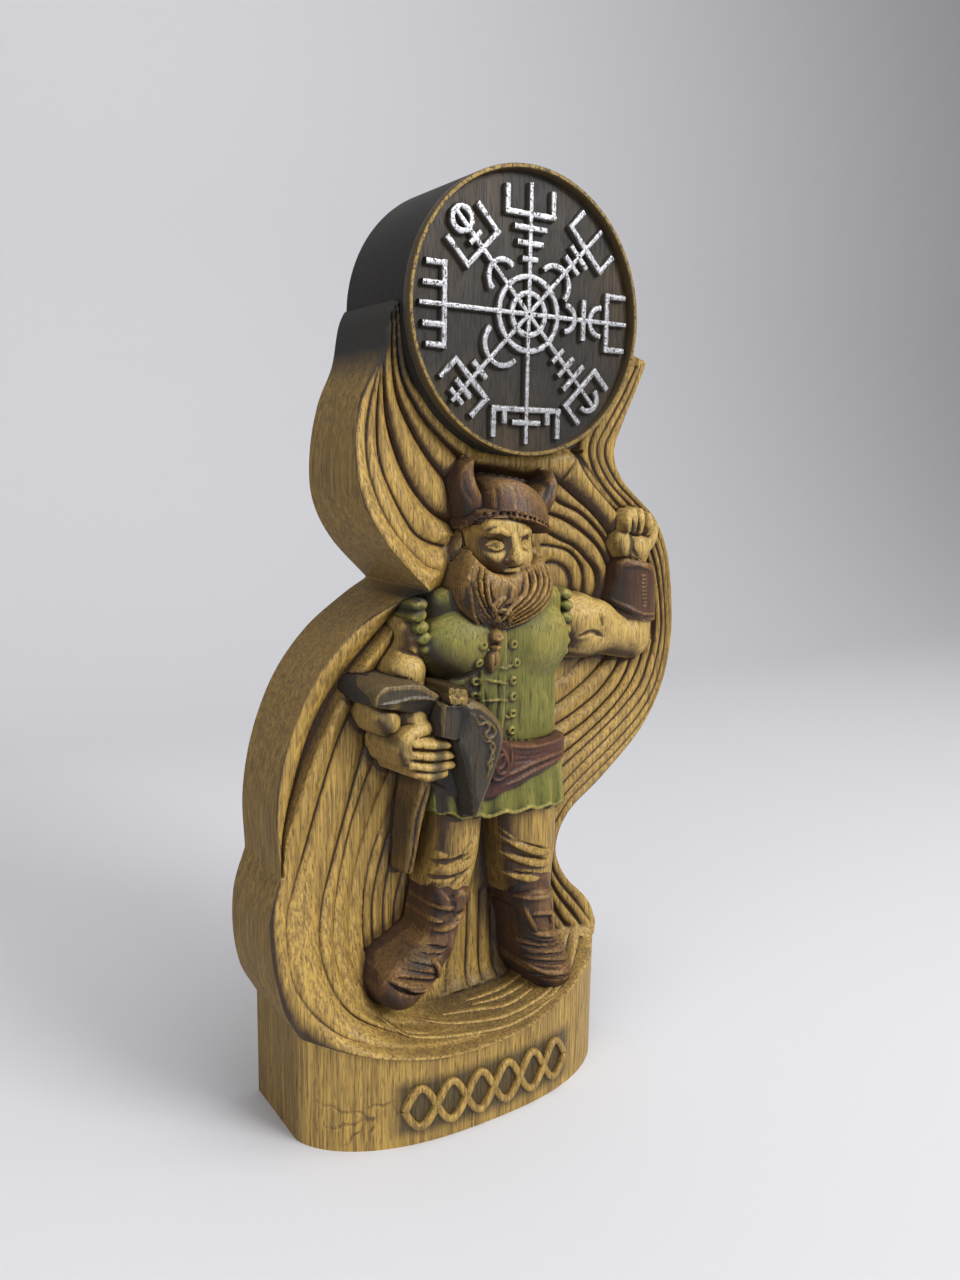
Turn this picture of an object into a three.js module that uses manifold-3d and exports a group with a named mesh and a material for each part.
// A carved dwarf figurine: a relief about 300 mm high, cut from one thick wooden blank.
// The dwarf stands on a bowed plinth before a mantle of flowing grooves, and a round medallion
// with a compass stave crowns it. Each carved element is its own solid, let into what is behind it.
// Sizes are in millimetres. A place is given as x to the viewer's right, z up, and depth from the
// flat back towards the viewer. In the part's frame the back faces +y, so y is minus the depth.
import * as THREE from "three";
import { mergeVertices } from "three/addons/utils/BufferGeometryUtils.js";
import Module from "manifold-3d";

const wasm = await Module();
wasm.setup();

// Fit: the gap left round each element, and the depth where the figure's flat back lies
const CLEARANCE = 0.3;
const FIGURE_BACK = 25;

// Plinth: straight sides, then a bowed front
const PLINTH_WIDTH = 115;
const PLINTH_DEPTH = 55;
const PLINTH_SIDE_DEPTH = 30;
const BOW_SQUARENESS = 2.5;
const BOW_FULLNESS = 0.6;
const BOW_STEPS = 18;

// The lip where the mantle meets the plinth hangs as an arc, lowest a little left of the middle
const LIP_LOW = 27.5;
const LIP_LOW_X = -5;
const LIP_CURL_LEFT = 0.0034;
const LIP_CURL_RIGHT = 0.0045;
const LIP_PROUD = 1.4;
const LIP_GAP = 0.5;

// Plaited ornament on the plinth's front
const PLAIT_HALF_LENGTH = 31;
const PLAIT_HEIGHT = 12.5;
const PLAIT_SWING = 6.4;
const PLAIT_CROSSINGS = 6;
const PLAIT_BAR = 2.3;
const PLAIT_RELIEF = 1.6;
const PLAIT_LIFT = 0.35;
const PLAIT_STEPS = 24;

// Medallion
const MEDALLION_X = 19;
const MEDALLION_HEIGHT = 254.3;
const MEDALLION_RADIUS = 42.8;
const MEDALLION_DEPTH = 40;
const RIM_WIDTH = 1.9;
const RIM_STEP = 3;
const MEDALLION_FACETS = 36;

// Compass stave, raised on the medallion's face
const STAVE_RELIEF = 1.6;
const STEM_WIDTH = 1.5;
const BAR_WIDTH = 1.8;
const HUB_RADIUS = 11;
const HUB_INNER_RADIUS = 6.2;
const ARC_STEPS = 3;
const HUB_STEPS = 16;

// One arm of the stave each: its bearing in degrees, its stem's length, its crossbars as
// [distance from the centre, half length], its forks as [distance, half width, tip], and its
// arcs as [centre distance, radius, opens outward]. Tines are [offset, start, tip].
const STAVE_ARMS = [
  {
    bearing: 90,
    stem: 38,
    bars: [[16, 2.9], [20.6, 4.8], [25, 6], [29, 9.4]],
    tines: [[-8.5, 29, 36.6], [8.5, 29, 36.6]],
    arcs: [],
  },
  {
    bearing: 45,
    stem: 39,
    bars: [[22.8, 3.6], [26.6, 4.5], [30.4, 9.4]],
    tines: [[-8.5, 30.4, 37.4], [8.5, 30.4, 37.4]],
    arcs: [[13.3, 5.8, false]],
  },
  {
    bearing: 0,
    stem: 39,
    bars: [[21.5, 6.2], [31, 9.2]],
    tines: [[-8.3, 31, 38.4], [8.3, 31, 38.4]],
    arcs: [[13.9, 4, false], [28.4, 4.4, true]],
  },
  {
    bearing: -45,
    stem: 38,
    bars: [[16.5, 2.9], [21.1, 4.1], [25.5, 5.5], [29.8, 8.8]],
    tines: [[-8, 29.8, 37.4], [8, 29.8, 37.4]],
    arcs: [[34.2, 3.8, false]],
  },
  {
    bearing: -90,
    stem: 39,
    bars: [[28.6, 13.2], [32.6, 5.4]],
    tines: [[-12.3, 28.6, 37.2], [-8.2, 28.6, 33], [8.2, 28.6, 33], [12.3, 28.6, 37.2]],
    arcs: [],
  },
  {
    bearing: -135,
    stem: 38.6,
    bars: [[24.9, 3.4], [29, 8.6], [33, 3.7], [36.4, 3.1]],
    tines: [[-7.7, 29, 36.8], [7.7, 29, 36.8]],
    arcs: [[13.3, 6.5, false]],
  },
  {
    bearing: 180,
    stem: 38.7,
    bars: [[30.2, 12.4]],
    tines: [[-11.5, 30.2, 36.5], [-5.7, 30.2, 37.6], [5.7, 30.2, 37.6], [11.5, 30.2, 36.5]],
    arcs: [],
  },
  {
    bearing: 135,
    stem: 38.2,
    bars: [[24.2, 8.2], [28, 2.6]],
    tines: [[-7.4, 24.2, 34.6], [7.4, 24.2, 34.6]],
    arcs: [[13.9, 5.1, false], [34.6, 3.4, false], [34.6, 3.4, true]],
  },
];

// Mantle: its edge in stretches that meet in sharp notches. A station is the edge's place, then
// the crest of the bands there, then where they end behind the figure: x, z, depth for each.
const UPPER_LEFT_LOBE = [
  [-19, 262, 34, -20.5, 237, 30.6, -4.5, 208, 28.6],
  [-26, 252, 32, -24.2, 240, 30.8, -6, 205, 28.9],
  [-29, 238, 30.5, -26.5, 231, 29.6, -7.5, 200.5, 29.1],
  [-34, 226, 28.5, -27.5, 221, 28.8, -8.5, 195.5, 29.3],
  [-36.8, 211, 30.6, -27, 208, 30.4, -9, 190, 30],
  [-36, 197, 35, -24.6, 196, 33.2, -9.5, 186, 31.5],
  [-29.5, 184.5, 38.8, -20, 187, 34.4, -10.5, 182, 32.2],
  [-16.9, 171.5, 40.5, -15, 174.6, 37.4, -11.5, 176.5, 33],
];
const LOWER_LEFT_LOBE = [
  [-16.9, 171.5, 40.5, -13.7, 167.4, 33.6, -11, 160, 29.5],
  [-26, 166, 31.5, -22, 161, 31, -14, 150, 28.2],
  [-39, 156, 28.8, -31, 151, 30.8, -18, 139, 27.2],
  [-50, 142, 28.4, -40, 139.5, 30.6, -24, 128, 26.8],
  [-57.5, 124, 27, -48.6, 122.5, 30.6, -29, 115, 26.6],
  [-61, 105, 27, -56, 104.5, 30, -32, 101, 26.6],
  [-60.6, 86.5, 29.2, -56.4, 87, 29.8, -31, 89, 26.4],
];
const BOTTOM_LEFT_LOBE = [
  [-60.6, 86.5, 29.2, -56.4, 87, 29.8, -31, 89, 26.4],
  [-64.6, 74, 30.5, -60, 74, 32.2, -30, 78, 26],
  [-65.2, 60, 34, -60.4, 59, 36.4, -28, 66, 26],
  [-63, 47, 36.5, -56, 47.5, 38.8, -25, 55, 26.4],
  [-58.2, 37.2, 37.6, -48, 40, 41, -21, 47, 27.6],
];
// Along the lip, what lies behind the edge is a ledge that runs back to the figure's feet.
const LIP_STATIONS = [
  [-50, -31, 38, 37, -17, 45, 27.6],
  [-36, -21, 34.5, 34, -12, 44.5, 27],
  [-18, -9, 32.6, 31.4, -6, 44.5, 26.5],
  [0, 1, 32.4, 30.6, 2, 45, 26.3],
  [18, 13, 33, 30.8, 10, 45.5, 26.5],
  [34, 25, 35.4, 31.4, 18, 46.5, 27],
  [47, 36, 41, 32, 25, 48.5, 27.6],
];
const RIGHT_SIDE = [
  [57.6, 46.5, 35.2, 50, 48.5, 33.2, 30, 52, 28.2],
  [54, 55.5, 34.4, 46, 55, 31.6, 32, 59, 28],
  [44.5, 66, 32.8, 40.5, 64.5, 30.6, 33, 68, 28.4],
  [40.8, 77, 32, 38, 76.5, 30.8, 33, 78, 28.6],
  [46, 89, 32, 40.5, 92, 30.8, 33, 90, 28.8],
  [61, 100, 32, 51, 109, 29.6, 35, 102, 29],
  [77, 114.5, 32, 69, 122.6, 29.6, 36.5, 113, 28.2],
  [87, 131, 32, 78.6, 133, 29.9, 37, 124, 27.3],
  [90.5, 150, 32, 83, 151, 30, 37.5, 137, 26.6],
  [88.5, 171, 32.8, 79.8, 171, 30, 38, 150, 26.6],
  [81.5, 189, 33, 70.6, 186, 30, 37.5, 164, 26.6],
  [66, 202, 33.4, 57, 198, 30, 36, 176, 26.6],
  [59, 213, 34, 47.5, 211, 30, 35, 186, 27],
  [63, 225, 34, 51, 222, 30.8, 34, 195, 27],
  [71.5, 244, 34, 61, 236, 32, 33, 202, 27.2],
];
const BELOW_MEDALLION = [
  [71.5, 244, 34, 61, 236, 32, 33, 202, 27.2],
  [57, 247, 36, 51, 224, 30.6, 31.5, 204, 27],
];
const MEDALLION_TUCK = 4.5;
const TUCK_BEARINGS = [-25, -50, -75, -100, -125, -150];
const TUCKED_BANDS = [
  [45, 215.5, 29, 29.5, 205.2, 26.6],
  [36.5, 211, 28.6, 25.5, 206, 26.3],
  [27, 208.8, 28.2, 20.5, 206.4, 26.3],
  [13.5, 208.8, 28.2, 14, 206.6, 26.3],
  [0, 212.5, 28.6, 6, 207.8, 26.8],
  [-13.5, 225, 29.4, -1, 209.2, 28],
];
const EDGE_POINTS_PER_STATION = 1.5;
const MANTLE_FLOOR = 24.5;
const FLOOR_SHARE = 0.85;

// The grooves and swellings of the bands, as [share of the way in, rise]
const OUTER_BANDS = [[0.5, -1.8]];
const INNER_BANDS = [[0.3, -0.9], [0.65, 0.9]];

// Figure: a limb's station is x, z, the depth where its dome springs, half width, dome height
const HEAD = { x: 11, z: 183.5, halfWidth: 13, halfHeight: 15, depth: 38, dome: 12, back: 30 };
// What belongs to the head is placed from its middle: x and z, and the depth above the head's own
const FACE_TURN = -3;
const NOSE = { x: -3.5, z: -2, halfWidth: 3, halfHeight: 4.6, depth: 9.5, dome: 4.6, back: 2 };
const BROW = [[-10, 3.9, 5.5, 1.9, 2.6], [-3, 3.1, 9.5, 1.7, 2.4], [7, 4.5, 6, 1.9, 2.6]];
const CHEEKS = [[-9.2, -2.9], [4.5, -2.7]];
const CHEEK = { halfWidth: 4, halfHeight: 3.2, depth: 6.5, dome: 3.4, back: 0 };
const HELMET_OUTLINE = [
  [-13.2, 6],
  [-12.4, 13.5],
  [-7, 19.5],
  [1.5, 21.7],
  [10, 19.3],
  [15.2, 13.5],
  [16.2, 7.1],
  [10, 9.9],
  [1.5, 10.9],
  [-7.5, 9.5],
];
const HELMET = { depth: 0, dome: 11.5, back: -10 };
const HELMET_BAND = [
  [-13, 5.9, -2, 2.1, 1.4],
  [-8.5, 8.5, 6, 2.1, 1.4],
  [-2, 10.3, 10.6, 2.1, 1.4],
  [4, 10.7, 10.4, 2.1, 1.4],
  [10.5, 9.5, 6, 2.1, 1.4],
  [16, 6.9, -2, 2.1, 1.4],
];
const RIGHT_HORN = [
  [-11, 12.5, -1, 4.4, 4.5],
  [-16, 16.5, -1, 4, 4.5],
  [-17.6, 21.5, -1, 2.8, 3.4],
  [-15, 26.9, -1, 1, 1.6],
];
const LEFT_HORN = [
  [14, 12, -3, 4.2, 4.5],
  [18.8, 15.1, -3, 3.6, 4],
  [20.2, 19.5, -3, 2.5, 3.2],
  [17.6, 24.3, -3, 1, 1.6],
];
const HAIR = { x: -0.5, z: -5.5, halfWidth: 17.6, halfHeight: 15, depth: -7, dome: 6 };
const HAIR_PIN = [[-18, 3.7, -5, 0.9, 1.2], [-9, 3.3, -5, 0.9, 1.2]];
const PIN_HEAD = { x: -18.2, z: 3.8, halfWidth: 1.7, halfHeight: 1.7, depth: -4.6, dome: 1.8 };
const BEARD_OUTLINE = [
  [-15, -2],
  [-18.2, -11.5],
  [-15, -19.5],
  [-6, -25.1],
  [3, -24.1],
  [13, -19.9],
  [18.2, -13],
  [16, -2.5],
  [7, -6.9],
  [-3, -8.7],
  [-11, -6.7],
];
const BEARD = { x: -4.5, z: -15.5, depth: -1, dome: 13.4, back: -12 };
const BRAID = [
  [-5.6, -22, 8.5, 2.4, 3.8],
  [-6.8, -26.9, 9.2, 2.9, 3.6],
  [-7.3, -30.1, 9.6, 1.8, 3],
  [-7.7, -33.5, 9.6, 2.7, 3],
  [-8.2, -36.3, 9.2, 1.6, 2],
];
const BRAID_BACK = 5;
const TUNIC_OUTLINE = [
  [-21, 166.5],
  [-19, 152],
  [-13.5, 138],
  [-13.5, 121],
  [-10, 115],
  [33, 115],
  [35.5, 121],
  [35, 138],
  [36, 152],
  [39, 166.5],
  [26, 171.5],
  [9, 172.5],
  [-8, 171.5],
];
const TUNIC = { depth: 36, dome: 9.5 };
const CHEST = { z: 153, halfWidth: 14.2, halfHeight: 12, depth: 37.5, dome: 10.3, back: 30 };
const CHEST_PLACES = [-4.2, 22];
const FRINGE_BACK = 28;
const RIGHT_FRINGE = [[-16.5, 169, 38, 2, 3], [-15.4, 161, 41, 2, 3], [-16, 153.6, 41, 1.8, 3]];
const LEFT_FRINGE = [[38.5, 167.6, 35, 2, 3], [37.4, 160, 36.5, 2, 3], [36.6, 152.6, 36, 1.9, 3]];
const BELT = [[10.8, 122, 34, 24, 12.8], [11, 116, 34, 24.6, 13.4], [11.3, 109.6, 34, 25.4, 13.6]];
const BUCKLE = { x: 5.4, z: 116.6, halfWidth: 5.2, halfHeight: 7, depth: 48, dome: 1.4, back: 42 };
const SKIRT = [[11.3, 112, 33, 24.6, 12.4], [11.8, 103, 33.4, 26, 13.4], [12.2, 95.6, 33.6, 27.6, 14]];
const PLEATS = 9;
const PLEAT_DEPTH = 0.9;
const RIGHT_UPPER_ARM = [
  [-14.6, 163, 36, 6.6, 7],
  [-19.8, 156, 37, 6.9, 8],
  [-23.6, 149, 37, 7.4, 8.6],
  [-24.8, 141, 37, 7.6, 8.8],
];
const RIGHT_FOREARM = [[-25.2, 138, 37, 7.5, 8.8], [-24.6, 131, 38.4, 7.4, 8.8], [-21.6, 124.6, 40, 7.2, 8]];
const RIGHT_PALM = { x: -19.6, z: 122.6, halfWidth: 8.8, halfHeight: 9, depth: 41.5, dome: 6.4, back: 34 };
const RIGHT_FINGERS = { x: -20.5, length: 8.6, top: 125.2, pitch: 3.3, half: 1.85, depth: 46.2, dome: 4 };
const LEFT_UPPER_ARM = [
  [38, 160, 29.5, 9, 8],
  [48, 156.6, 30.5, 10, 9],
  [60, 153, 30.5, 9.6, 9],
  [69.5, 149.5, 30.5, 8.4, 8.4],
];
const LEFT_FOREARM = [[70.8, 149.5, 30.5, 8.4, 8.4], [70.4, 155, 30.5, 8.6, 8.6], [70, 160.4, 30.5, 9, 8.8]];
const BRACER = [[69.8, 160.2, 30.5, 10.2, 9.8], [70.6, 167.5, 30.5, 8.8, 9], [71.2, 174.6, 30.5, 7.6, 8.4]];
const LEFT_PALM = { x: 71.2, z: 181.6, halfWidth: 7.2, halfHeight: 8, depth: 32, dome: 7 };
const LEFT_FINGERS = { x: 65.8, pitch: 3.7, low: 184.5, length: 8.4, half: 1.95, depth: 35, dome: 4.2 };
const LEFT_THUMB = [[76, 178, 33, 2.2, 3.4], [79, 184, 34, 2.1, 3.2], [79.6, 189.6, 34, 1.8, 3]];
const FINGERS = 4;
const HAFT = [
  [-14.4, 131, 43, 3, 3.2],
  [-17.6, 112.5, 41.5, 2.9, 3.2],
  [-20.3, 95, 38.6, 2.9, 3.1],
  [-21, 82, 36, 2.7, 2.9],
];
const SOCKET_OUTLINE = [[-16.8, 140.4], [-16.8, 129.2], [-10.6, 128.2], [-9.6, 139.6]];
const SOCKET = { edge: 49.8, front: 51, inset: 0.8, back: 38 };
const KNOB_OUTLINE = [[-16, 145.4], [-16, 140.9], [-9, 140.1], [-9, 144.4]];
const KNOB = { edge: 50.8, front: 51.8, inset: 0.8, back: 34 };
const REAR_BLADE_OUTLINE = [
  [-17.2, 140],
  [-23, 144],
  [-31, 144],
  [-36.6, 142.4],
  [-37.6, 139.6],
  [-33, 137.4],
  [-25, 134.8],
  [-17.2, 130],
];
const REAR_BLADE = { edge: 43.5, front: 48, inset: 0.5, back: 36 };
const FRONT_BLADE_OUTLINE = [
  [-9, 139.6],
  [-2, 137.6],
  [4.2, 130.6],
  [4.4, 122],
  [0.4, 111.5],
  [-5.2, 101],
  [-8.4, 113],
  [-12.2, 127.6],
  [-9.9, 128.4],
];
const FRONT_BLADE = { edge: 50, front: 52.6, inset: 0.55, back: 46.4 };
const RIGHT_LEG = [[-3, 97.5, 33, 11.4, 9.6], [-6, 86, 33.4, 11, 9.8], [-9, 77, 33.4, 9.6, 9.2]];
const LEFT_LEG = [[23, 96.5, 33, 13, 9.6], [23, 84, 33.4, 13.2, 9.8], [22.6, 72.4, 33, 11.6, 9.2]];
const RIGHT_CUFF = [[-8.8, 78.6, 33.8, 10.9, 10.2], [-10.4, 71.6, 34, 10.4, 10.2]];
const LEFT_CUFF = [[22.6, 74.4, 33.4, 13, 10.2], [22.9, 66.6, 33.8, 11.6, 10.2]];
const RIGHT_BOOT_SHAFT = [[-10, 74, 33.8, 9.6, 9.6], [-12.6, 64, 34.6, 8.8, 9.6], [-15.5, 55, 35.6, 9, 10]];
const RIGHT_FOOT = [[-10.5, 53.5, 35, 9.2, 9], [-21, 49.5, 37.6, 9, 8.8], [-29.5, 46.6, 39.6, 7.8, 8]];
const LEFT_BOOT_SHAFT = [[22.6, 70, 33.8, 10.8, 9.6], [23, 60, 34.6, 9.4, 9.6], [23, 52, 35.6, 9.4, 10]];
const LEFT_FOOT = [[20.6, 49, 35, 9.4, 9], [25.6, 42.6, 38, 9, 8.8], [30, 38.6, 40.6, 8, 8]];

// Finish of each element
const WOOD = 0xa4833f;
const DARK_WOOD = 0x7d6331;
const BLACK = 0x262320;
const GOLD = 0xa9903c;
const SILVER = 0xb9b9bd;
const HIDE = 0x6b412a;
const STEEL = 0x3b3830;
const CLOTH = 0x74802f;
const SKIN = 0xb39852;
const OXBLOOD = 0x5c2a1e;
const HAIR_BROWN = 0x8a6a34;
const SATIN = 0.55;

// How finely the shapes are cut
const SAME_POINT = 1e-4;
const LIMB_STEPS = 3;
const LIMB_SIDES = 6;
const LOOP_DENSITY = 1.4;
const BLUNT = [];
const SMALL = { sides: 4, ends: [55] };
const TORSO_SIDES = 12;
const SKIRT_SIDES = 27;
const SKIRT_STEPS = 4;
const OUTLINE_POINTS = 16;
const SMALL_OUTLINE_POINTS = 9;
const CHEST_OUTLINE_POINTS = 12;
const END_ANGLES = [40, 78];
const DOME_ANGLES = [32, 64];
const MOST_MITRE = 3;
const NORMAL_SPREAD = 0.01;

const radians = THREE.MathUtils.degToRad;
const at = (x, depth, z) => new THREE.Vector3(x, -depth, z);

// A surface from its corners and the triangles between them.
function surface(corners, faces) {
  return new THREE.BufferGeometry().setFromPoints(corners).setIndex(faces);
}

// A closed surface through rings of points. Flat rings are closed by cutting their outline into
// triangles, and the others by a fan from the middle of the first and last ring.
function loft(rings, flat = false) {
  const count = rings[0].length;
  const corners = rings.flat();
  const faces = [];
  for (let ring = 0; ring + 1 < rings.length; ring++) {
    for (let i = 0; i < count; i++) {
      const a = ring * count + i;
      const b = ring * count + ((i + 1) % count);
      faces.push(a, b, b + count, a, b + count, a + count);
    }
  }
  for (const [ring, first] of [[rings[0], 0], [rings.at(-1), corners.length - count]]) {
    const opening = first === 0;
    if (flat) {
      const outline = ring.map((p) => new THREE.Vector2(p.x, p.z));
      const turned = THREE.ShapeUtils.area(outline) > 0;
      for (const [a, b, c] of THREE.ShapeUtils.triangulateShape(outline, [])) {
        const order = turned === THREE.ShapeUtils.isClockWise([outline[a], outline[b], outline[c]]);
        const [q, r] = order === opening ? [b, c] : [c, b];
        faces.push(first + a, first + q, first + r);
      }
    } else {
      const middle = ring.reduce((sum, p) => sum.add(p), new THREE.Vector3()).divideScalar(count);
      const tip = corners.push(middle) - 1;
      for (let i = 0; i < count; i++) {
        const a = first + i;
        const b = first + ((i + 1) % count);
        faces.push(...(opening ? [b, a, tip] : [a, b, tip]));
      }
    }
  }
  return surface(corners, faces);
}

// The geometry with its shared corners merged and only their places kept.
function welded(geometry) {
  const bare = geometry.clone();
  bare.deleteAttribute("normal");
  bare.deleteAttribute("uv");
  return mergeVertices(bare, SAME_POINT);
}

// The solid that a closed surface bounds, its faces turned outward.
function solidOf(geometry) {
  const { attributes, index } = welded(geometry);
  const triVerts = new Uint32Array(index.array);
  const build = () =>
    new wasm.Manifold(new wasm.Mesh({ numProp: 3, vertProperties: attributes.position.array, triVerts }));
  const solid = build();
  if (solid.volume() > 0) return solid;
  for (let i = 0; i < triVerts.length; i += 3) {
    [triVerts[i + 1], triVerts[i + 2]] = [triVerts[i + 2], triVerts[i + 1]];
  }
  return build();
}

// The surface moved outward by a distance: each corner goes to where its moved faces meet.
function grown(geometry, distance) {
  const merged = welded(geometry);
  const place = merged.attributes.position;
  const turn = solidVolumeSign(merged);
  const corner = (i) => new THREE.Vector3().fromBufferAttribute(place, i);
  const sums = Array.from({ length: place.count }, () => ({
    products: new Array(9).fill(0),
    normal: new THREE.Vector3(),
    weight: 0,
  }));
  for (let i = 0; i < merged.index.count; i += 3) {
    const ids = [0, 1, 2].map((k) => merged.index.getX(i + k));
    const points = ids.map(corner);
    const normal = new THREE.Vector3()
      .crossVectors(points[1].clone().sub(points[0]), points[2].clone().sub(points[0]))
      .normalize()
      .multiplyScalar(turn);
    ids.forEach((id, k) => {
      const toNext = points[(k + 1) % 3].clone().sub(points[k]);
      const toLast = points[(k + 2) % 3].clone().sub(points[k]);
      const weight = toNext.angleTo(toLast);
      const products = normal.toArray().flatMap((row) => normal.toArray().map((column) => row * column));
      sums[id].products = sums[id].products.map((sum, entry) => sum + weight * products[entry]);
      sums[id].normal.addScaledVector(normal, weight);
      sums[id].weight += weight;
    });
  }
  const moved = sums.map(({ products, normal, weight }, id) => {
    const spread = products.map((value, k) => value + (k % 4 === 0 ? NORMAL_SPREAD * weight : 0));
    const meeting = new THREE.Matrix3().fromArray(spread).invert();
    const step = normal.clone().multiplyScalar(distance).applyMatrix3(meeting);
    return corner(id).add(step.clampLength(0, MOST_MITRE * distance));
  });
  return surface(moved, [...merged.index.array]);
}

// Plus one where a surface's faces point outward, minus one where they point inward.
function solidVolumeSign(merged) {
  const place = merged.attributes.position;
  const [a, b, c] = [new THREE.Vector3(), new THREE.Vector3(), new THREE.Vector3()];
  let volume = 0;
  for (let i = 0; i < merged.index.count; i += 3) {
    a.fromBufferAttribute(place, merged.index.getX(i));
    b.fromBufferAttribute(place, merged.index.getX(i + 1));
    c.fromBufferAttribute(place, merged.index.getX(i + 2));
    volume += a.dot(b.cross(c));
  }
  return Math.sign(volume);
}

// A carved limb: domed sections along a path, with straight walls back to the depth given.
function limb(stations, back, options = {}) {
  const { steps = LIMB_STEPS, sides = LIMB_SIDES, ends = END_ANGLES, pleats = 0 } = options;
  const path = new THREE.CatmullRomCurve3(stations.map(([x, z, depth]) => at(x, depth, z)));
  const sizes = new THREE.CatmullRomCurve3(
    stations.map(([, , , half, dome]) => new THREE.Vector3(half, dome, 0)),
  );
  const section = (t, beyond, angle) => {
    const along = path.getTangent(t).setY(0).normalize();
    const across = new THREE.Vector3(-along.z, 0, along.x);
    const size = sizes.getPoint(t).multiplyScalar(Math.cos(angle));
    const middle = path.getPoint(t).addScaledVector(along, beyond * sizes.getPoint(t).x * Math.sin(angle));
    const ring = [];
    for (let i = 0; i <= sides; i++) {
      const turn = (Math.PI * i) / sides;
      const wave = 1 + (PLEAT_DEPTH / size.y) * Math.cos(2 * turn * pleats) * Math.sign(pleats);
      const point = middle.clone().addScaledVector(across, size.x * Math.cos(turn));
      ring.push(point.setY(middle.y - size.y * wave * Math.sin(turn)));
    }
    ring.push(ring.at(-1).clone().setY(-back), ring[0].clone().setY(-back));
    return ring;
  };
  const rings = Array.from({ length: steps + 1 }, (_, i) => section(i / steps, 0, 0));
  for (const angle of ends) {
    rings.unshift(section(0, -1, radians(angle)));
    rings.push(section(1, 1, radians(angle)));
  }
  return loft(rings);
}

// Outlines in the plane of the front: an oval, and a smooth loop through a few points.
function oval({ x, z, halfWidth, halfHeight }, count = OUTLINE_POINTS) {
  return Array.from({ length: count }, (_, i) => {
    const turn = (2 * Math.PI * i) / count;
    return [x + halfWidth * Math.cos(turn), z + halfHeight * Math.sin(turn)];
  });
}
function loop(points, count = Math.round(LOOP_DENSITY * points.length)) {
  const curve = new THREE.CatmullRomCurve3(points.map(([x, z]) => at(x, 0, z)), true);
  return Array.from({ length: count }, (_, i) => {
    const point = curve.getPoint(i / count);
    return [point.x, point.z];
  });
}
function middleOf(outline) {
  const box = new THREE.Box2().setFromPoints(outline.map(([x, z]) => new THREE.Vector2(x, z)));
  return box.getCenter(new THREE.Vector2());
}

// The outline as a ring at some depth, shrunk towards a peak.
function shrinking(outline, peakX, peakZ) {
  return (share, level) =>
    outline.map(([x, z]) => at(peakX + (x - peakX) * share, level, peakZ + (z - peakZ) * share));
}

// A carved boss: straight walls from the back to the edge depth, then a dome over the outline.
function boss(outline, { back = FIGURE_BACK, depth, dome, peakX, peakZ }) {
  const middle = middleOf(outline);
  const ring = shrinking(outline, peakX ?? middle.x, peakZ ?? middle.y);
  const crown = DOME_ANGLES.map(radians).map((angle) =>
    ring(Math.cos(angle), depth + dome * Math.sin(angle)),
  );
  return loft([ring(1, back), ring(1, depth), ...crown], true);
}
const knobOf = (size, count) => boss(oval(size, count), size);

// A forged plate: a flat face set in from a bevelled edge.
function plate(outline, { back, edge, front, inset }) {
  const middle = middleOf(outline);
  const ring = shrinking(outline, middle.x, middle.y);
  return loft([ring(1, back), ring(1, edge), ring(inset, front)], true);
}

// Places set out from the middle of the head: of stations or outline points, and of one shape,
// which runs back to the figure's flat back where it names none of its own.
const fromHead = (stations) =>
  stations.map(([x, z, depth = 0, ...sizes]) => [HEAD.x + x, HEAD.z + z, HEAD.depth + depth, ...sizes]);
const onHead = ({ x = 0, z = 0, depth, back = FIGURE_BACK - HEAD.depth, ...sizes }) => ({
  x: HEAD.x + x,
  z: HEAD.z + z,
  depth: HEAD.depth + depth,
  back: HEAD.depth + back,
  ...sizes,
});

// Plinth

const halfPlinth = PLINTH_WIDTH / 2;
function bowDepth(x) {
  const share = Math.min(1, Math.abs(x) / halfPlinth);
  const bow = (1 - share ** BOW_SQUARENESS) ** BOW_FULLNESS;
  return PLINTH_SIDE_DEPTH + (PLINTH_DEPTH - PLINTH_SIDE_DEPTH) * bow;
}
function lipHeight(x) {
  const curl = x < LIP_LOW_X ? LIP_CURL_LEFT : LIP_CURL_RIGHT;
  return LIP_LOW + curl * (x - LIP_LOW_X) ** 2;
}
function plinth() {
  const columns = Array.from({ length: BOW_STEPS + 1 }, (_, i) => {
    const x = -halfPlinth * Math.cos((Math.PI * i) / BOW_STEPS);
    const top = lipHeight(x) - LIP_GAP;
    const front = bowDepth(x);
    return [at(x, 0, 0), at(x, front, 0), at(x, front, top), at(x, 0, top)];
  });
  return loft(columns);
}

// Two strands wind round each other along the bow, each in turn over and under.
function plaitStrand(side) {
  const rings = Array.from({ length: PLAIT_STEPS + 1 }, (_, i) => {
    const share = i / PLAIT_STEPS;
    const x = PLAIT_HALF_LENGTH * (2 * share - 1);
    const phase = Math.PI * PLAIT_CROSSINGS * share;
    const z = PLAIT_HEIGHT + side * PLAIT_SWING * Math.sin(phase);
    const rise = side * PLAIT_SWING * Math.PI * PLAIT_CROSSINGS * Math.cos(phase);
    const across = new THREE.Vector2(-rise, 2 * PLAIT_HALF_LENGTH).setLength(PLAIT_BAR / 2);
    const lift = PLAIT_RELIEF + side * PLAIT_LIFT * Math.cos(phase);
    const corner = (way, height) => {
      const edge = x + way * across.x;
      return at(edge, bowDepth(edge) + CLEARANCE + height, z + way * across.y);
    };
    return [corner(-1, 0), corner(1, 0), corner(1, lift), corner(-1, lift)];
  });
  return loft(rings);
}

// Medallion

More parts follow.
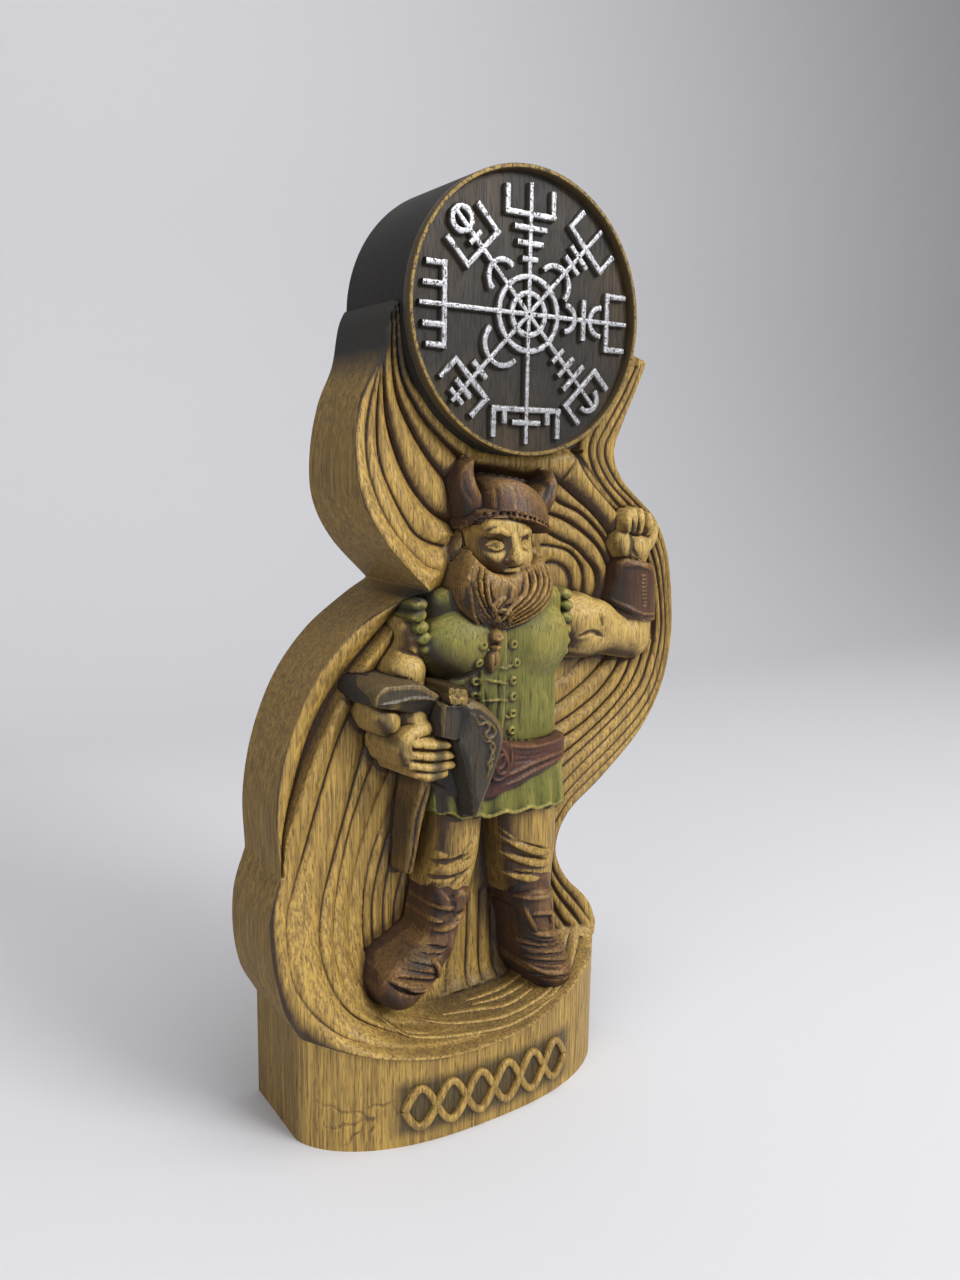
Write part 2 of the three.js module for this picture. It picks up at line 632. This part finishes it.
function turned(profile, facets = MEDALLION_FACETS) {
  const points = profile.map(([radius, depth]) => new THREE.Vector2(radius, -depth));
  const geometry = new THREE.LatheGeometry(points, facets);
  return geometry.translate(MEDALLION_X, 0, MEDALLION_HEIGHT);
}
const faceDepth = MEDALLION_DEPTH - RIM_STEP;
const rimInner = MEDALLION_RADIUS - RIM_WIDTH;
function drum() {
  const front = faceDepth - CLEARANCE;
  return turned([[0, 0], [MEDALLION_RADIUS, 0], [MEDALLION_RADIUS, front], [0, front]]);
}
function rim() {
  const corners = [[rimInner, faceDepth], [MEDALLION_RADIUS, faceDepth]];
  const front = [[MEDALLION_RADIUS, MEDALLION_DEPTH], [rimInner, MEDALLION_DEPTH]];
  return turned([...corners, ...front, corners[0]]);
}

// Everything on the stave stands on the face and is placed along and across an arm.
function onArm(geometry, bearing) {
  return geometry
    .translate(0, -faceDepth - STAVE_RELIEF / 2, 0)
    .rotateY(-radians(bearing))
    .translate(MEDALLION_X, 0, MEDALLION_HEIGHT);
}
const bar = (from, to, offset, width) =>
  new THREE.BoxGeometry(to - from, STAVE_RELIEF, width).translate((from + to) / 2, 0, offset);
const crossbar = (distance, half) => bar(distance - BAR_WIDTH / 2, distance + BAR_WIDTH / 2, 0, 2 * half);
function arc(distance, radius, opensOutward) {
  const start = opensOutward ? Math.PI / 2 : -Math.PI / 2;
  const rings = Array.from({ length: ARC_STEPS + 1 }, (_, i) => {
    const turn = start + (Math.PI * i) / ARC_STEPS;
    const corner = (reach, y) =>
      new THREE.Vector3(distance + reach * Math.cos(turn), y, reach * Math.sin(turn));
    const [near, far] = [radius - BAR_WIDTH / 2, radius + BAR_WIDTH / 2];
    const half = STAVE_RELIEF / 2;
    return [corner(near, -half), corner(far, -half), corner(far, half), corner(near, half)];
  });
  return loft(rings);
}
function hubRing(radius) {
  const [near, far] = [radius - STEM_WIDTH / 2, radius + STEM_WIDTH / 2];
  const top = faceDepth + STAVE_RELIEF;
  const profile = [[near, faceDepth], [far, faceDepth], [far, top], [near, top], [near, faceDepth]];
  return turned(profile, HUB_STEPS);
}
function staveArm({ bearing, stem, bars, tines, arcs }) {
  const shapes = [
    bar(0, stem, 0, STEM_WIDTH),
    ...bars.map(([distance, half]) => crossbar(distance, half)),
    ...tines.map(([offset, from, to]) => bar(from, to, offset, BAR_WIDTH)),
    ...arcs.map(([distance, radius, opensOutward]) => arc(distance, radius, opensOutward)),
  ];
  return shapes.map((shape) => onArm(shape, bearing));
}

// Mantle

// Three loops run along the mantle: its edge, the crest of its bands and where the bands end.
function edgeStretch(stations) {
  const curves = [0, 3, 6].map(
    (k) => new THREE.CatmullRomCurve3(stations.map((s) => at(s[k], s[k + 2], s[k + 1]))),
  );
  const count = Math.round((stations.length - 1) * EDGE_POINTS_PER_STATION);
  return Array.from({ length: count }, (_, i) => curves.map((curve) => curve.getPoint(i / count)));
}
function mantle() {
  const lip = LIP_STATIONS.map(([x, ...bands]) => [x, lipHeight(x), bowDepth(x) + LIP_PROUD, ...bands]);
  const reach = MEDALLION_RADIUS - MEDALLION_TUCK;
  const tucked = TUCK_BEARINGS.map(radians).map((bearing, i) => {
    const x = MEDALLION_X + reach * Math.cos(bearing);
    const z = MEDALLION_HEIGHT + reach * Math.sin(bearing);
    return [x, z, faceDepth, ...TUCKED_BANDS[i]];
  });
  const stretches = [
    UPPER_LEFT_LOBE,
    LOWER_LEFT_LOBE,
    BOTTOM_LEFT_LOBE,
    [BOTTOM_LEFT_LOBE.at(-1), ...lip, RIGHT_SIDE[0]],
    RIGHT_SIDE,
    BELOW_MEDALLION,
    [BELOW_MEDALLION.at(-1), ...tucked, UPPER_LEFT_LOBE[0]],
  ].flatMap(edgeStretch);
  const [edge, crest, end] = [0, 1, 2].map((k) => stretches.map((points) => points[k]));
  const bands = (from, to, shares) =>
    shares.map(([share, rise]) => from.map((p, i) => p.clone().lerp(to[i], share).add(at(0, rise, 0))));
  const center = new THREE.Box3().setFromPoints(end).getCenter(new THREE.Vector3());
  return loft(
    [
      edge.map((point) => point.clone().setY(0)),
      edge,
      ...bands(edge, crest, OUTER_BANDS),
      crest,
      ...bands(crest, end, INNER_BANDS),
      end,
      end.map((point) => center.clone().lerp(point, FLOOR_SHARE).setY(-MANTLE_FLOOR)),
    ],
    true,
  );
}

// Carving order: each element is let into every element after it in the list.

const carvings = [];
const carve = (name, color, shapes, finish = {}) => carvings.push({ name, color, shapes, finish });
const METAL = { roughness: 0.4, metalness: 0.6 };

carve("compass_stave", SILVER, [
  hubRing(HUB_RADIUS),
  hubRing(HUB_INNER_RADIUS),
  ...STAVE_ARMS.flatMap(staveArm),
], METAL);
carve("medallion_rim", GOLD, [rim()]);
carve("axe_front_blade", STEEL, [plate(FRONT_BLADE_OUTLINE, FRONT_BLADE)]);
carve("axe_socket", STEEL, [plate(SOCKET_OUTLINE, SOCKET)]);
carve("axe_knob", GOLD, [plate(KNOB_OUTLINE, KNOB)]);
carve("right_fist", SKIN, [
  knobOf(RIGHT_PALM),
  ...Array.from({ length: FINGERS }, (_, i) => {
    const { x, length, top, pitch, half, depth, dome } = RIGHT_FINGERS;
    const z = top - pitch * i;
    const stations = [[x, z, depth, half, dome], [x + length, z, depth, half, dome]];
    return limb(stations, RIGHT_PALM.back, { ...SMALL, steps: 1 });
  }),
]);
carve("axe_rear_blade", STEEL, [plate(REAR_BLADE_OUTLINE, REAR_BLADE)]);
carve("belt_buckle", OXBLOOD, [knobOf(BUCKLE, SMALL_OUTLINE_POINTS)]);
carve("beard_braid", HAIR_BROWN, [limb(fromHead(BRAID), HEAD.depth + BRAID_BACK, { steps: 8 })]);
const beard = onHead(BEARD);
carve("beard", HAIR_BROWN, [
  boss(loop(fromHead(BEARD_OUTLINE)), { ...beard, peakX: beard.x, peakZ: beard.z }),
]);
const helmet = onHead(HELMET);
carve("helmet_band", HIDE, [limb(fromHead(HELMET_BAND), helmet.back, { ...SMALL, steps: 8 })]);
carve("right_horn", HIDE, [limb(fromHead(RIGHT_HORN), FIGURE_BACK)]);
carve("left_horn", HIDE, [limb(fromHead(LEFT_HORN), FIGURE_BACK)]);
carve("helmet", HIDE, [boss(loop(fromHead(HELMET_OUTLINE)), helmet)]);
carve("head", SKIN, [
  boss(oval(HEAD), { ...HEAD, peakX: HEAD.x + FACE_TURN }),
  knobOf(onHead(NOSE), SMALL_OUTLINE_POINTS),
  limb(fromHead(BROW), HEAD.back, SMALL),
  ...CHEEKS.map(([x, z]) => knobOf(onHead({ x, z, ...CHEEK }), SMALL_OUTLINE_POINTS)),
]);
carve("hair_pin", WOOD, [
  limb(fromHead(HAIR_PIN), FIGURE_BACK, { ...SMALL, steps: 1 }),
  knobOf(onHead(PIN_HEAD), SMALL_OUTLINE_POINTS),
]);
carve("left_hand", SKIN, [
  knobOf(LEFT_PALM, SMALL_OUTLINE_POINTS),
  ...Array.from({ length: FINGERS }, (_, i) => {
    const { x, pitch, low, length, half, depth, dome } = LEFT_FINGERS;
    const across = x + pitch * i;
    const stations = [[across, low, depth, half, dome], [across, low + length, depth, half, dome]];
    return limb(stations, FIGURE_BACK, { ...SMALL, steps: 1 });
  }),
  limb(LEFT_THUMB, FIGURE_BACK, { ...SMALL, steps: 2 }),
]);
carve("left_bracer", HIDE, [limb(BRACER, FIGURE_BACK, { ends: BLUNT })]);
carve("right_armhole_fringe", CLOTH, [limb(RIGHT_FRINGE, FRINGE_BACK, SMALL)]);
carve("left_armhole_fringe", CLOTH, [limb(LEFT_FRINGE, FRINGE_BACK, SMALL)]);
carve("left_forearm", SKIN, [limb(LEFT_FOREARM, FIGURE_BACK, { ends: BLUNT })]);
carve("left_upper_arm", SKIN, [limb(LEFT_UPPER_ARM, FIGURE_BACK)]);
carve("right_forearm", SKIN, [limb(RIGHT_FOREARM, FIGURE_BACK)]);
carve("right_upper_arm", SKIN, [limb(RIGHT_UPPER_ARM, FIGURE_BACK)]);
carve("axe_haft", DARK_WOOD, [limb(HAFT, FIGURE_BACK)]);
carve("belt", OXBLOOD, [limb(BELT, FIGURE_BACK, { ends: BLUNT, sides: TORSO_SIDES })]);
carve("tunic", CLOTH, [
  boss(loop(TUNIC_OUTLINE), TUNIC),
  ...CHEST_PLACES.map((x) => knobOf({ x, ...CHEST }, CHEST_OUTLINE_POINTS)),
]);
carve("skirt", CLOTH, [
  limb(SKIRT, FIGURE_BACK, { ends: BLUNT, sides: SKIRT_SIDES, steps: SKIRT_STEPS, pleats: PLEATS }),
]);
carve("right_boot_cuff", HIDE, [limb(RIGHT_CUFF, FIGURE_BACK, { ends: BLUNT, steps: 2 })]);
carve("left_boot_cuff", HIDE, [limb(LEFT_CUFF, FIGURE_BACK, { ends: BLUNT, steps: 2 })]);
carve("right_trouser_leg", WOOD, [limb(RIGHT_LEG, FIGURE_BACK, { ends: BLUNT })]);
carve("left_trouser_leg", WOOD, [limb(LEFT_LEG, FIGURE_BACK, { ends: BLUNT })]);
carve("right_boot", HIDE, [
  limb(RIGHT_BOOT_SHAFT, FIGURE_BACK, { ends: BLUNT }),
  limb(RIGHT_FOOT, FIGURE_BACK),
]);
carve("left_boot", HIDE, [
  limb(LEFT_BOOT_SHAFT, FIGURE_BACK, { ends: BLUNT }),
  limb(LEFT_FOOT, FIGURE_BACK),
]);
carve("hair", HAIR_BROWN, [knobOf(onHead(HAIR))]);
carve("medallion_drum", BLACK, [drum()]);
carve("mantle", WOOD, [mantle()]);
carve("plinth_ornament", WOOD, [plaitStrand(1), plaitStrand(-1)]);
carve("plinth", WOOD, [plinth()]);

const joined = (solids) => solids.reduce((sum, solid) => sum.add(solid));
function largestBody(solid) {
  return solid.decompose().reduce((best, body) => (body.volume() > best.volume() ? body : best));
}
function geometryOf(solid) {
  const { numProp, vertProperties, triVerts } = solid.getMesh();
  const geometry = new THREE.BufferGeometry();
  geometry.setAttribute("position", new THREE.BufferAttribute(vertProperties, numProp));
  geometry.setIndex(new THREE.BufferAttribute(triVerts, 1));
  geometry.computeVertexNormals();
  return geometry;
}

// The carving stands with the middle of its base box at the origin.
const carving = new THREE.Group();
const cutters = [];
for (const { name, color, shapes, finish } of carvings) {
  const whole = joined(shapes.map(solidOf));
  const cut = cutters.reduce((solid, cutter) => solid.subtract(cutter), whole);
  cutters.push(joined(shapes.map((shape) => solidOf(grown(shape, CLEARANCE)))));
  const material = new THREE.MeshStandardMaterial({ color, roughness: SATIN, metalness: 0, ...finish });
  const mesh = new THREE.Mesh(geometryOf(largestBody(cut)), material);
  mesh.name = name;
  carving.add(mesh);
}
const middle = new THREE.Box3().setFromObject(carving).getCenter(new THREE.Vector3());
carving.position.set(-middle.x, -middle.y, 0);

const figurine = new THREE.Group();
figurine.add(carving);
export default figurine;
